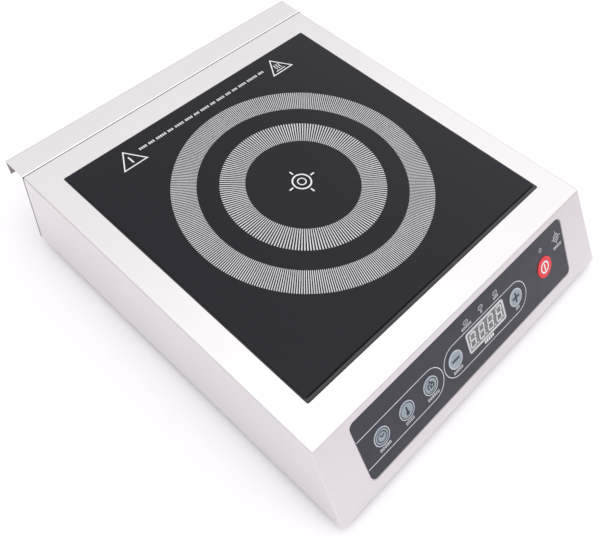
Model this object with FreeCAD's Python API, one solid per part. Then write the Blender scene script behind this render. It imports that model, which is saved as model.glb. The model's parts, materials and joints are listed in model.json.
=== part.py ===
import FreeCAD, Part
import math
import os

# Counter-top induction hob: a folded stainless case with a sloped control front, a square glass
# plate, and behind them the coil, power electronics, fan and six sprung keys.
# Millimetres. +Z up, +X to the user's right, +Y to the rear.
# The origin is the middle of the footprint, on the surface that the feet stand on.

V = FreeCAD.Vector
Rotation = FreeCAD.Rotation
Placement = FreeCAD.Placement
AXIS_X = V(1, 0, 0)
AXIS_Y = V(0, 1, 0)
AXIS_Z = V(0, 0, 1)

# ---- Case ----------------------------------------------------------------------------------------
TOP_WIDTH = 327.0          # width of the top face
FRONT_RUN = 38.7           # how far the sloped front leans back
FRONT_RISE = 65.5          # height of the sloped front
TOP_RUN = 330.2            # top cover from its front edge to the seam
TOP_RISE = 8.2             # how much the top climbs towards the rear
HOOD_RUN = 27.0            # rear hood beyond the seam
HOOD_LIP = 15.5            # height of the hood's turned-down edge
SIDE_LEAN = 5.1 / 65.5     # outward lean of the side walls, per millimetre of drop
SHEET = 1.0
BEND = 1.8                 # outside radius of the folds
FOOT_HEIGHT = 7.0
SEAM_GAP = 0.8
FLANGE = 12.0              # inward flanges along the cover's open edges

BODY_Z = FOOT_HEIGHT + SHEET
DEPTH = FRONT_RUN + TOP_RUN + HOOD_RUN
FRONT_Y = -DEPTH / 2
EDGE_Y = FRONT_Y + FRONT_RUN
EDGE_Z = BODY_Z + FRONT_RISE
SEAM_Y = EDGE_Y + TOP_RUN
REAR_Y = DEPTH / 2
WALL_Y = SEAM_Y + SEAM_GAP
TOP_SLOPE = TOP_RISE / TOP_RUN

# Two working frames: z is the outward normal, y runs up the slope, and both start at the front edge.
TOP_FRAME = Placement(V(0, EDGE_Y, EDGE_Z), Rotation(AXIS_X, math.degrees(math.atan(TOP_SLOPE))))
FRONT_TILT = math.degrees(math.atan2(FRONT_RISE, FRONT_RUN))
FRONT_FRAME = Placement(V(0, EDGE_Y, EDGE_Z), Rotation(AXIS_X, FRONT_TILT))

# ---- Glass and coil (top frame) ------------------------------------------------------------------
GLASS_CENTRE = 166.1
APERTURE = 281.4
SEAL_WIDTH = 1.4           # seal between the glass and the case, on the left and the right
SEAL_REAR = 0.6
SEAL_FRONT = 4.0           # wide front bead, with its shadow line
GLASS_SIDE = APERTURE - 2 * SEAL_WIDTH
GLASS_LENGTH = APERTURE - SEAL_REAR - SEAL_FRONT
GLASS_Y = GLASS_CENTRE + (SEAL_FRONT - SEAL_REAR) / 2
GLASS_CORNER = 1.6
GLASS_CHAMFER = 0.6
SEAL_DEPTH = 0.25          # how far the seal lies below the case's top face
BEAD_GAP = 0.7             # shadow line between the front bead and the glass
GLASS_THICK = 4.0
GLASS_PROUD = 0.4
GLASS_UNDER = GLASS_PROUD - GLASS_THICK
SEAL_FOOT = 1.0
COIL_OUTER = 96.0
COIL_INNER = 27.0
COIL_TOP = GLASS_UNDER - 1.2
COIL_THICK = 4.2
TURN_PITCH = 3.0
CARRIER_THICK = 6.0
CARRIER_TOP = COIL_TOP - COIL_THICK
CARRIER_LOW = CARRIER_TOP - CARRIER_THICK
CARRIER_HUB_R = 26.0
CARRIER_RIM_R = 100.0
FERRITE_COUNT = 8
FERRITE_L = 58.0
FERRITE_W = 12.0
FERRITE_T = 4.0
FERRITE_START = 32.0       # inner end of each bar, from the coil's centre
LUG_COUNT = 3
LUG_RING_R = 88.0
LUG_R = 8.0
LUG_TURN = 22.5
SPRING_R = 5.1
SENSOR_R = 7.0

# ---- Control front (front frame: x across, y up the slope from the edge) -------------------------
OVERLAY_W = 262.0
OVERLAY_H = 57.4
OVERLAY_Y = -36.1
OVERLAY_R = 5.0
OVERLAY_T = 0.5
POCKET_DEPTH = 0.6
POCKET_GAP = 0.9
FACE = -0.1                # outer face of the overlay
PLATE_BACK = -SHEET - POCKET_DEPTH
KEY_ROW = -37.3
KEY_R = 8.1
POWER_R = 9.7
KEY_GAP = 0.25
KEY_TOP = 0.5
KEY_TRAVEL = 0.5
KEYS = {
    "key_timer": -109.8,
    "key_temp": -81.8,
    "key_power": -54.0,
    "key_down": -23.2,
    "key_up": 57.2,
    "key_on_off": 100.0,
}
GROOVED_KEYS = ("key_timer", "key_temp", "key_power")
WINDOW_X = 17.2
WINDOW_Y = -36.1
WINDOW_W = 48.8
WINDOW_H = 19.8
SKIRT_W = WINDOW_W - 2.4   # part of the bezel that passes through the front
SKIRT_H = WINDOW_H - 2.4
DISPLAY_W = 50.3
DISPLAY_H = 19.0
DISPLAY_PINS = [(WINDOW_X + (i - 2.5) * 2.54, WINDOW_Y + side * 7.6) for side in (-1, 1) for i in range(6)]
LAMP_XS = (-2.4, 16.6, 35.7)
LAMP_Y = -16.4
LAMP_W = 5.4
LAMP_H = 3.0
POWER_LAMP = (99.2, -19.6)
POWER_LAMP_R = 1.9
GUIDE_Z = -5.2
GUIDE_T = 1.6
PCB_T = 1.6
CONTROL_Z = -14.0          # back face of the control board
STEM_R = 2.5
TIP_R = 1.75
RUNNING_GAP = 0.08
CONTROL_POSTS = ((-95.8, -27.0), (-68.0, -47.0), (78.0, -27.0), (78.0, -47.0))

# ---- Inside, on the base -------------------------------------------------------------------------
FLOOR = BODY_Z
FAN_X = -88.0
FAN_Y = -78.0
FAN_SIDE = 92.0
FAN_H = 25.0
FAN_BORE = 44.0
SINK_X = -88.0
SINK_Y = 36.0
SINK_W = 76.0
SINK_L = 104.0
SINK_Z = 21.0
SINK_H = 21.0
BOARD_X = 51.0
BOARD_Y = -14.0
BOARD_W = 158.0
BOARD_L = 214.0
BOARD_Z = 18.0
BOARD_FACE = BOARD_Z + PCB_T
BRIDGE_Z = 45.5
BRIDGE_T = 1.5
FOOT_X = 132.0
FOOT_FRONT_Y = FRONT_Y + 36.0
FOOT_REAR_Y = SEAM_Y - 36.0
FEET = [(x, y) for x in (-FOOT_X, FOOT_X) for y in (FOOT_FRONT_Y, FOOT_REAR_Y)]
FAN_HUB_R = 19.0
FAN_BLADES = 7
SHAFT_R = 1.5
INTAKE_PITCH = 6.6
INTAKE_SLOT = 3.6
FIN_COUNT = 13
FIN_T = 1.8
SINK_BASE_T = 4.5
LOUVRE_COUNT = 24
LOUVRE_PITCH = 9.0
LOUVRE_X = -138.0          # first louvre
LOUVRE_END = 75.0          # the louvres stop short of the mains inlet
LOUVRE_W = 4.0
LOUVRE_H = 18.0
LOUVRE_ROWS = (17.0, 40.0)
TERMINAL_X = 98.0
TERMINAL_Y = 136.0
TERMINAL_PITCH = 11.0
SCREW_HEAD_R = 3.2
SCREW_HEAD_H = 1.8
THREAD_R = 1.55            # body of the small case screws
CLEAR_R = 1.9              # clearance hole for them
SOCKET_R = 1.1
FOOT_BOLT_R = 2.0
GLAND_X = 118.0
GLAND_Z = 32.0
GLAND_BORE = 5.0
GLAND_THREAD = 8.0
GLAND_HEX = 20.0           # across the flats
SPAN = 500.0               # longer than the case, for tools that cut right through


# ---- Helpers -------------------------------------------------------------------------------------
def box(cx, cy, z0, w, l, h):
    return Part.makeBox(w, l, h, V(cx - w / 2, cy - l / 2, z0))


def rod(x, y, z0, r, h, direction=AXIS_Z):
    return Part.makeCylinder(r, h, V(x, y, z0), direction)


def hole(x, y, r):
    """A tool that bores right through along z."""
    return rod(x, y, -SPAN / 2, r, SPAN)


def ring(x, y, z0, outer_r, inner_r, h):
    return rod(x, y, z0, outer_r, h).cut(hole(x, y, inner_r))


def rounded(cx, cy, z0, w, l, h, r):
    block = box(cx, cy, z0, w, l, h)
    upright = [e for e in block.Edges if abs(e.tangentAt(e.FirstParameter).z) > 0.99]
    return block.makeFillet(r, upright)


def fused(shapes):
    first = shapes[0]
    if len(shapes) > 1:
        first = first.fuse(shapes[1:])
    return first.removeSplitter()


def cut(shape, tools):
    return shape.cut(Part.makeCompound(tools)).removeSplitter()


def prism_x(points, x0, x1):
    """A solid with the (y, z) outline `points`, from x0 to x1."""
    corners = [V(x0, y, z) for y, z in points]
    wire = Part.makePolygon(corners + [corners[0]])
    return Part.Face(wire).extrude(V(x1 - x0, 0, 0))


def folded(path, thick, x0, x1, bend):
    """Sheet folded along the (y, z) path, thickened to the left of travel, with round bends."""
    count = len(path)
    normals = []
    for (ya, za), (yb, zb) in zip(path, path[1:]):
        length = math.hypot(yb - ya, zb - za)
        normals.append((-(zb - za) / length, (yb - ya) / length))
    other = []
    for i, (y, z) in enumerate(path):
        before = normals[max(i - 1, 0)]
        after = normals[min(i, count - 2)]
        reach = thick / (1 + before[0] * after[0] + before[1] * after[1])
        other.append((y + reach * (before[0] + after[0]), z + reach * (before[1] + after[1])))
    sheet = prism_x(path + other[::-1], x0, x1)
    for i in range(1, count - 1):
        turn = normals[i - 1][0] * normals[i][1] - normals[i - 1][1] * normals[i][0]
        inner, outer = (other[i], path[i]) if turn > 0 else (path[i], other[i])
        for (y, z), radius in ((inner, bend - thick), (outer, bend)):
            edges = [e for e in sheet.Edges if all(
                abs(v.Point.y - y) < 0.01 and abs(v.Point.z - z) < 0.01 for v in e.Vertexes)]
            sheet = sheet.makeFillet(radius, edges)
    return sheet


def tube(points, radius):
    """A round wire along a smooth curve through the points."""
    curve = Part.BSplineCurve()
    curve.interpolate([V(*p) for p in points])
    path = Part.Wire(curve.toShape())
    start = curve.tangent(curve.FirstParameter)[0]
    ring = Part.Wire(Part.Circle(V(*points[0]), start, radius).toShape())
    return path.makePipeShell([ring], True, False)


def placed(shape, frame):
    moved = shape.copy()
    moved.Placement = frame.multiply(shape.Placement)
    return moved


def save(name, shapes):
    """Write one node, from one solid or a list of separate ones."""
    solids = shapes if isinstance(shapes, list) else [shapes]
    shape = solids[0] if len(solids) == 1 else Part.makeCompound(solids)
    shape.exportStep("parts/" + name + ".step")


def top_height(y):
    return EDGE_Z + (y - EDGE_Y) * TOP_SLOPE


def half_width(y, z):
    return TOP_WIDTH / 2 + SIDE_LEAN * (top_height(y) - z)


def case_block(inset, z0, y1):
    """The case's outside shape, shrunk by `inset`, from height z0 up and forward of y1."""
    front_dir = (FRONT_RUN, FRONT_RISE)
    front_len = math.hypot(*front_dir)
    front_shift = inset * front_len / FRONT_RISE
    top_shift = inset * math.hypot(1, TOP_SLOPE)
    lean = FRONT_RUN / FRONT_RISE

    def front_y(z):
        return FRONT_Y + front_shift + (z - BODY_Z) * lean

    edge_z = BODY_Z + FRONT_RISE
    for _ in range(30):        # settles where the shifted front meets the shifted top
        edge_z = top_height(front_y(edge_z)) - top_shift
    outline = [(front_y(z0), z0), (front_y(edge_z), edge_z), (y1, top_height(y1) - top_shift), (y1, z0)]
    left = [V(inset - half_width(y, z), y, z) for y, z in outline]
    right = [V(half_width(y, z) - inset, y, z) for y, z in outline]
    faces = [Part.Face(Part.makePolygon(side + [side[0]])) for side in (left, right)]
    for i in range(4):
        j = (i + 1) % 4
        faces.append(Part.Face(Part.makePolygon([left[i], left[j], right[j], right[i], left[i]])))
    block = Part.makeSolid(Part.makeShell(faces))
    folds = []
    for edge in block.Edges:
        ends = [v.Point for v in edge.Vertexes]
        on_top = all(abs(p.z - (top_height(p.y) - top_shift)) < 0.01 for p in ends)
        on_front = all(abs(p.y - front_y(p.z)) < 0.01 for p in ends)
        same_side = ends[0].x * ends[1].x > 0
        on_side = same_side and all(abs(abs(p.x) - half_width(p.y, p.z) + inset) < 0.01 for p in ends)
        if on_top + on_front + on_side == 2:
            folds.append(edge)
    return block.makeFillet(BEND - min(inset, SHEET), folds)


# ---- Sheet-metal case ----------------------------------------------------------------------------
def overlay_holes(z0, height, grow):
    """Cutting tools for every opening in the control front, in the front frame."""
    tools = []
    for name, x in KEYS.items():
        radius = POWER_R if name == "key_on_off" else KEY_R
        tools.append(rod(x, KEY_ROW, z0, radius + grow, height))
    window_w = SKIRT_W + 2 * grow
    window_h = SKIRT_H + 2 * grow
    tools.append(rounded(WINDOW_X, WINDOW_Y, z0, window_w, window_h, height, 1.5))
    for x in LAMP_XS:
        tools.append(rounded(x, LAMP_Y, z0, LAMP_W + 2 * grow, LAMP_H + 2 * grow, height, 1.3))
    tools.append(rod(POWER_LAMP[0], POWER_LAMP[1], z0, POWER_LAMP_R + grow, height))
    return tools


def base_screw_points():
    side = half_width(0, BODY_Z) - FLANGE / 2 - SHEET
    along_sides = [(s * side, y) for s in (-1, 1) for y in (-130.0, 0.0, 130.0)]
    along_front = [(x, FRONT_Y + FLANGE / 2 + 2) for x in (-80.0, 80.0)]
    return along_sides + along_front


def rear_screw_points():
    return [(s * (TOP_WIDTH / 2 - 4.5), z) for s in (-1, 1) for z in (22.0, 58.0)]


def make_top_cover():
    outer = case_block(0, BODY_Z, SEAM_Y)
    shell = outer.cut(case_block(SHEET, BODY_Z - 5, SEAM_Y + 5))
    hollow = case_block(FLANGE, BODY_Z - 5, SEAM_Y + 5)
    bottom = outer.common(box(0, 0, BODY_Z, SPAN, SPAN, SHEET)).cut(hollow)
    bottom = bottom.cut(box(0, SEAM_Y, BODY_Z - 1, SPAN, 2 * SHEET + 0.8, 3))
    rear = outer.common(box(0, SEAM_Y - SHEET / 2, BODY_Z + 2, SPAN, SHEET, SPAN)).cut(hollow)
    boss = placed(rounded(0, OVERLAY_Y, PLATE_BACK, OVERLAY_W + 6, OVERLAY_H + 4, POCKET_DEPTH + 0.3, 6),
                  FRONT_FRAME)
    shell = fused([shell, bottom, rear, boss])
    tools = overlay_holes(PLATE_BACK - 2, 4, KEY_GAP)
    pocket_w = OVERLAY_W + 2 * POCKET_GAP
    pocket_h = OVERLAY_H + 2 * POCKET_GAP
    tools.append(rounded(0, OVERLAY_Y, -POCKET_DEPTH, pocket_w, pocket_h, 3, OVERLAY_R + POCKET_GAP))
    tools = [placed(t, FRONT_FRAME) for t in tools]
    tools.append(placed(rounded(0, GLASS_CENTRE, -5, APERTURE, APERTURE, 9, GLASS_CORNER), TOP_FRAME))
    tools += [rod(x, y, BODY_Z - 1, THREAD_R + 0.05, 4) for x, y in base_screw_points()]
    tools += [rod(x, SEAM_Y - 3, z, THREAD_R + 0.05, 6, AXIS_Y) for x, z in rear_screw_points()]
    return cut(shell, tools)


def make_rear_panel():
    rise = TOP_SLOPE * HOOD_RUN
    wall_top = top_height(WALL_Y)
    path = [
        (WALL_Y - FLANGE, BODY_Z),
        (WALL_Y + SHEET, BODY_Z),
        (WALL_Y + SHEET, wall_top - SHEET),
        (REAR_Y - SHEET, wall_top - SHEET + rise),
        (REAR_Y - SHEET, wall_top + rise - HOOD_LIP),
    ]
    sheet = folded(path, SHEET, -SPAN / 2, SPAN / 2, BEND)
    wide = half_width(WALL_Y, BODY_Z)
    narrow = TOP_WIDTH / 2
    corners = [V(-wide, WALL_Y, BODY_Z), V(wide, WALL_Y, BODY_Z),
               V(narrow, WALL_Y, wall_top), V(-narrow, WALL_Y, wall_top)]
    wall_room = Part.Face(Part.makePolygon(corners + [corners[0]])).extrude(V(0, SHEET, 0))
    hood_room = Part.makeBox(TOP_WIDTH, HOOD_RUN, 2 * HOOD_LIP, V(-narrow, WALL_Y, wall_top - HOOD_LIP))
    flange_room = Part.makeBox(300, FLANGE + SHEET, 2 * BEND, V(-150, WALL_Y - FLANGE, BODY_Z))
    sheet = sheet.common(fused([wall_room, hood_room, flange_room]))
    tools = [louvre(LOUVRE_X + i * LOUVRE_PITCH, z) for z in LOUVRE_ROWS for i in range(LOUVRE_COUNT)]
    tools.append(rod(GLAND_X, WALL_Y - SHEET, GLAND_Z, GLAND_THREAD + 0.1, 3 * SHEET, AXIS_Y))
    tools += [rod(x, WALL_Y - SHEET, z, CLEAR_R, 3 * SHEET, AXIS_Y) for x, z in rear_screw_points()]
    return cut(sheet, tools)


def louvre(x, z):
    """A round-ended upright slot through the rear wall, with its lower end at height z."""
    r = LOUVRE_W / 2
    y = WALL_Y - SHEET
    ends = [rod(x, y, end_z, r, 3 * SHEET, AXIS_Y) for end_z in (z + r, z + LOUVRE_H - r)]
    return fused(ends + [box(x, WALL_Y + SHEET / 2, z + r, LOUVRE_W, 3 * SHEET, LOUVRE_H - 2 * r)])


def make_base_plate():
    inset = 2.0
    y0 = FRONT_Y + inset
    y1 = WALL_Y + SHEET - inset
    w0 = half_width(y0, BODY_Z) - inset
    w1 = half_width(y1, BODY_Z) - inset
    corners = [V(-w0, y0, FOOT_HEIGHT), V(w0, y0, FOOT_HEIGHT),
               V(w1, y1, FOOT_HEIGHT), V(-w1, y1, FOOT_HEIGHT)]
    plate = Part.Face(Part.makePolygon(corners + [corners[0]])).extrude(V(0, 0, SHEET))
    upright = [e for e in plate.Edges if abs(e.tangentAt(e.FirstParameter).z) > 0.99]
    plate = plate.makeFillet(3, upright)
    tools = [hole(x, y, FOOT_BOLT_R + 0.1) for x, y in FEET]
    tools += [hole(x, y, CLEAR_R) for x, y in base_screw_points() + fan_screw_points()]
    intake = hole(FAN_X, FAN_Y, FAN_BORE - 2)
    for i in range(-6, 7):
        tools.append(box(FAN_X, FAN_Y + i * INTAKE_PITCH, 0, FAN_SIDE, INTAKE_SLOT, 20).common(intake))
    ribs = [box(FAN_X + s * FAN_BORE / 2, FAN_Y, FOOT_HEIGHT, 4, 84, SHEET) for s in (-1, 1)]
    return fused([cut(plate, tools)] + ribs)


# ---- Glass, seal and support ---------------------------------------------------------------------
def make_glass_plate():
    plate = rounded(0, GLASS_Y, GLASS_UNDER, GLASS_SIDE, GLASS_LENGTH, GLASS_THICK, GLASS_CORNER)
    rim = [e for e in plate.Edges if e.BoundBox.ZMin > GLASS_PROUD - 0.01]
    return placed(plate.makeChamfer(GLASS_CHAMFER, rim), TOP_FRAME)


def make_glass_seal():
    """A bead round the glass, on a foot that the glass rests on."""
    foot_side = APERTURE - 0.2
    foot = rounded(0, GLASS_CENTRE, GLASS_UNDER - SEAL_FOOT, foot_side, foot_side, SEAL_FOOT, GLASS_CORNER)
    foot = foot.cut(box(0, GLASS_CENTRE, -SPAN / 2, GLASS_SIDE - 18, GLASS_SIDE - 18, SPAN))
    lip_h = -SEAL_DEPTH - GLASS_UNDER
    lip = rounded(0, GLASS_CENTRE, GLASS_UNDER, APERTURE, APERTURE, lip_h, GLASS_CORNER)
    lip = lip.cut(rounded(0, GLASS_Y, -SPAN / 2, GLASS_SIDE, GLASS_LENGTH, SPAN, GLASS_CORNER))
    groove_y = GLASS_Y - (GLASS_LENGTH + BEAD_GAP) / 2
    groove = box(0, groove_y, -SEAL_DEPTH - 1.4, GLASS_SIDE - 2 * GLASS_CORNER, BEAD_GAP, 3)
    return placed(fused([foot, lip]).cut(groove), TOP_FRAME)


def make_glass_support():
    """Pressed frame under the cover: a flange behind the top face and a well that holds the seal."""
    low = GLASS_UNDER - SEAL_FOOT
    wall = 1.5
    flange_w = APERTURE + 34
    flange_l = APERTURE + 26
    frame = box(0, GLASS_CENTRE, low - wall, flange_w, flange_l, wall - SHEET - low)
    well = box(0, GLASS_CENTRE, low, APERTURE, APERTURE, 10)
    below = box(0, GLASS_CENTRE, low - 5, flange_w + 3, flange_l + 3, 5 - SHEET - wall - low)
    step = box(0, GLASS_CENTRE, low - wall, APERTURE + 2 * wall, APERTURE + 2 * wall, 10)
    opening = box(0, GLASS_CENTRE, -SPAN / 2, GLASS_SIDE - 22, GLASS_SIDE - 22, SPAN)
    return placed(cut(frame.cut(below.cut(step)), [well, opening]), TOP_FRAME)


# ---- Coil assembly -------------------------------------------------------------------------------
def make_mica_sheet():
    return placed(ring(0, GLASS_CENTRE, COIL_TOP + 0.1, 104, 9, 0.6), TOP_FRAME)


def make_coil_winding():
    """Flat pancake of wound litz, with a groove between turns above and below."""
    turns = int((COIL_OUTER - COIL_INNER) / TURN_PITCH)
    middle = COIL_TOP - COIL_THICK / 2
    half = COIL_THICK / 2 - 0.4
    body = ring(0, GLASS_CENTRE, middle - half, COIL_OUTER, COIL_INNER, 2 * half)
    grooves = []
    for i in range(1, turns):
        radius = COIL_INNER + i * TURN_PITCH
        for z in (middle + half - 0.6, middle - half - 0.4):
            grooves.append(ring(0, GLASS_CENTRE, z, radius + 0.4, radius - 0.4, 1.0))
    return placed(body.cut(Part.makeCompound(grooves)), TOP_FRAME)


def around(shape, count, start=0.0):
    copies = []
    for i in range(count):
        piece = shape.copy()
        piece.rotate(V(0, GLASS_CENTRE, 0), AXIS_Z, start + i * 360.0 / count)
        copies.append(piece)
    return copies


def make_coil_carrier():
    hub = ring(0, GLASS_CENTRE, CARRIER_LOW, CARRIER_HUB_R, 10, CARRIER_THICK)
    cup = rod(0, GLASS_CENTRE, CARRIER_LOW - 3, 12, 3).cut(rod(0, GLASS_CENTRE, CARRIER_LOW - 1.5, 10, 5))
    hub = hub.fuse(cup).cut(rod(0, GLASS_CENTRE, CARRIER_LOW - 5, 5, 9))
    rim = ring(0, GLASS_CENTRE, CARRIER_LOW, CARRIER_RIM_R, 94, CARRIER_THICK)
    arm_w = FERRITE_W + 4
    arm = Part.makeBox(72, arm_w, CARRIER_THICK, V(24, GLASS_CENTRE - arm_w / 2, CARRIER_LOW))
    slot_w = FERRITE_W + 0.4
    slot_at = V(FERRITE_START - 0.2, GLASS_CENTRE - slot_w / 2, CARRIER_LOW)
    slot = Part.makeBox(FERRITE_L + 0.4, slot_w, FERRITE_T, slot_at)
    lug = rod(0, GLASS_CENTRE - LUG_RING_R, CARRIER_LOW, LUG_R, CARRIER_THICK)
    body = fused([hub, rim] + around(arm, FERRITE_COUNT) + around(lug, LUG_COUNT, LUG_TURN))
    return placed(cut(body, around(slot, FERRITE_COUNT)), TOP_FRAME)


def make_ferrite_bars():
    bar = Part.makeBox(FERRITE_L, FERRITE_W, FERRITE_T,
                       V(FERRITE_START, GLASS_CENTRE - FERRITE_W / 2, CARRIER_LOW))
    bar = bar.makeFillet(0.6, bar.Edges)
    return [placed(b, TOP_FRAME) for b in around(bar, FERRITE_COUNT)]


def coil_lug_points():
    """Where the springs stand, as (x, y, underside of the lug)."""
    points = []
    for i in range(LUG_COUNT):
        angle = math.radians(-90 + LUG_TURN + i * 360 / LUG_COUNT)
        local = V(LUG_RING_R * math.cos(angle), GLASS_CENTRE + LUG_RING_R * math.sin(angle), CARRIER_LOW)
        points.append(TOP_FRAME.multVec(local))
    return points


def make_coil_springs():
    """Each spring as the sleeve that its turns fill."""
    springs = []
    for p in coil_lug_points():
        low = BRIDGE_Z + BRIDGE_T + 0.6
        height = p.z - 1.4 - low
        springs.append(ring(p.x, p.y, low, SPRING_R, SPRING_R - 1, height))
    return springs


def make_coil_pins():
    """Guide pins through the springs, riveted to the bridge plate."""
    pins = []
    for p in coil_lug_points():
        pins.append(fused([
            rod(p.x, p.y, BRIDGE_Z - 1.2, 3.4, 1.2),
            rod(p.x, p.y, BRIDGE_Z - 0.5, 2.4, p.z - 1.5 - BRIDGE_Z)]))
    return pins


def bridge_post_points():
    return [(x, y) for x in (-146.0, 146.0) for y in (-88.0, 104.0)]


def make_coil_bridge():
    middle_y = 8.0
    plate = rounded(0, middle_y, BRIDGE_Z, 308, 214, BRIDGE_T, 8)
    tools = [hole(0, middle_y, 26)]
    tools += [hole(p.x, p.y, 2.5) for p in coil_lug_points()]
    tools += [hole(x, y, 2.2) for x, y in bridge_post_points()]
    tools += [rounded(x, middle_y, 0, 30, 90, SPAN, 6) for x in (-118, 118)]
    return cut(plate, tools)


def make_bridge_posts():
    posts = []
    radius = 4.5
    for x, y in bridge_post_points():
        turns = [math.radians(a) for a in range(0, 360, 60)]
        corners = [V(x + radius * math.cos(a), y + radius * math.sin(a), FLOOR) for a in turns]
        hexagon = Part.Face(Part.makePolygon(corners + [corners[0]])).extrude(V(0, 0, BRIDGE_Z - FLOOR))
        stud = rod(x, y, BRIDGE_Z, 2.0, BRIDGE_T + 0.5)
        head = rod(x, y, BRIDGE_Z + BRIDGE_T, 3.6, 2.2)
        posts.append(fused([hexagon, stud, head]))
    return posts


def make_thermistor_cap():
    """Cup that holds the sensor against the glass, with a rim for its spring."""
    low = GLASS_UNDER - 5.2
    cap = rod(0, GLASS_CENTRE, low, SENSOR_R, 5.0)
    rim = rod(0, GLASS_CENTRE, low, SENSOR_R + 1.4, 1.0)
    hollow = rod(0, GLASS_CENTRE, low - 0.1, SENSOR_R - 2, 3.6)
    return placed(fused([cap, rim]).cut(hollow), TOP_FRAME)


def make_thermistor_spring():
    """The spring as the sleeve that its turns fill."""
    low = CARRIER_LOW - 1.0
    height = GLASS_UNDER - 5.4 - low
    return placed(ring(0, GLASS_CENTRE, low, SENSOR_R + 0.8, SENSOR_R, height), TOP_FRAME)


# ---- Control front -------------------------------------------------------------------------------
def make_front_overlay():
    sheet = rounded(0, OVERLAY_Y, FACE - OVERLAY_T, OVERLAY_W, OVERLAY_H, OVERLAY_T, OVERLAY_R)
    return placed(cut(sheet, overlay_holes(-3, 6, KEY_GAP)), FRONT_FRAME)


def make_key(name):
    x = KEYS[name]
    radius = POWER_R if name == "key_on_off" else KEY_R
    low = PLATE_BACK - 0.2
    cap = rod(x, KEY_ROW, low, radius, KEY_TOP - low)
    rim = [e for e in cap.Edges if e.BoundBox.ZMin > KEY_TOP - 0.01]
    cap = cap.makeFillet(0.3, rim)
    flange = rod(x, KEY_ROW, low - 1.0, radius + 1.2, 1.0)
    tip_z = CONTROL_Z + PCB_T + 2.9
    stem = rod(x, KEY_ROW, tip_z + 2.1, STEM_R, low - 1.0 - tip_z - 2.1)
    tip = rod(x, KEY_ROW, tip_z, TIP_R, 2.1)
    body = fused([cap, flange, stem, tip])
    if name in GROOVED_KEYS:
        groove = rod(x, KEY_ROW, KEY_TOP - 0.4, radius - 0.9, 3).cut(rod(x, KEY_ROW, -5, radius - 1.9, 9))
        body = body.cut(groove)
    return placed(body, FRONT_FRAME)


def make_display_bezel():
    frame = rounded(WINDOW_X, WINDOW_Y, FACE, WINDOW_W, WINDOW_H, 0.5, 2.4)
    skirt = rounded(WINDOW_X, WINDOW_Y, PLATE_BACK, SKIRT_W, SKIRT_H, 1.7, 1.5)
    opening = rounded(WINDOW_X, WINDOW_Y, -5, WINDOW_W - 3.6, WINDOW_H - 3.6, 9, 1.2)
    ledge = rounded(WINDOW_X, WINDOW_Y, -5, WINDOW_W - 5.0, WINDOW_H - 5.0, 9, 1.0)
    body = fused([frame, skirt]).cut(opening)
    shelf = rounded(WINDOW_X, WINDOW_Y, PLATE_BACK, WINDOW_W - 3.4, WINDOW_H - 3.4, 0.5, 1.2).cut(ledge)
    return placed(fused([body, shelf]), FRONT_FRAME)


def make_display_window():
    pane = rounded(WINDOW_X, WINDOW_Y, PLATE_BACK + 0.5, WINDOW_W - 3.8, WINDOW_H - 3.8, 1.2, 1.1)
    return placed(pane, FRONT_FRAME)


def make_display_module():
    """Four-digit display block on two rows of pins through the control board."""
    low = CONTROL_Z + PCB_T
    body = box(WINDOW_X, WINDOW_Y, low + 2.4, DISPLAY_W, DISPLAY_H, 8.0)
    pins = [box(x, y, low - 2.8, 0.5, 0.5, 5.6) for x, y in DISPLAY_PINS]
    return placed(fused([body] + pins), FRONT_FRAME)


def make_key_guide():
    plate = rounded(-5, KEY_ROW, GUIDE_Z, 232, 28, GUIDE_T, 3)
    tools = []
    sleeves = []
    for x in KEYS.values():
        sleeves.append(rod(x, KEY_ROW, GUIDE_Z - 1.2, STEM_R + 1.6, 1.2))
        tools.append(hole(x, KEY_ROW, STEM_R + RUNNING_GAP))
    tools.append(rounded(WINDOW_X, WINDOW_Y, GUIDE_Z - 5, DISPLAY_W + 1.2, DISPLAY_H + 1.4, 12, 1))
    tools += [hole(x, y, 1.8) for x, y in CONTROL_POSTS]
    return placed(cut(fused([plate] + sleeves), tools), FRONT_FRAME)


def make_control_posts():
    """Welded studs behind the sloped front, with spacer shoulders for the guide and the board."""
    posts = []
    board_top = CONTROL_Z + PCB_T
    guide_top = GUIDE_Z + GUIDE_T
    for x, y in CONTROL_POSTS:
        post = fused([
            rod(x, y, guide_top, 2.8, PLATE_BACK - guide_top),
            rod(x, y, GUIDE_Z, 1.7, GUIDE_T),
            rod(x, y, board_top, 2.8, GUIDE_Z - board_top),
            rod(x, y, CONTROL_Z - 2.4, 1.5, 2.4 + PCB_T)])
        posts.append(placed(post, FRONT_FRAME))
    return posts


def make_control_nuts():
    nuts = []
    for x, y in CONTROL_POSTS:
        nuts.append(placed(ring(x, y, CONTROL_Z - 2.2, 3.0, THREAD_R, 2.2), FRONT_FRAME))
    return nuts


def make_control_board():
    """Circuit board with its controller and display driver on the back."""
    board = rounded(-5, -36, CONTROL_Z, 236, 44, PCB_T, 2)
    tools = [hole(x, y, 1.6) for x, y in CONTROL_POSTS]
    tools += [hole(x, y, 0.5) for x, y in DISPLAY_PINS]
    chip = box(-40, -42, CONTROL_Z - 2.0, 12, 10, 2.0)
    driver = box(40, -40, CONTROL_Z - 2.0, 18, 7.5, 2.0)
    return placed(fused([cut(board, tools), chip, driver]), FRONT_FRAME)


def make_tact_switches():
    switches = []
    top = CONTROL_Z + PCB_T
    side = 6.0
    for x in KEYS.values():
        socket = rod(x, KEY_ROW, top + 1.6, TIP_R + RUNNING_GAP, side)
        switches.append(placed(box(x, KEY_ROW, top, side, side, 3.8).cut(socket), FRONT_FRAME))
    return switches


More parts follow.
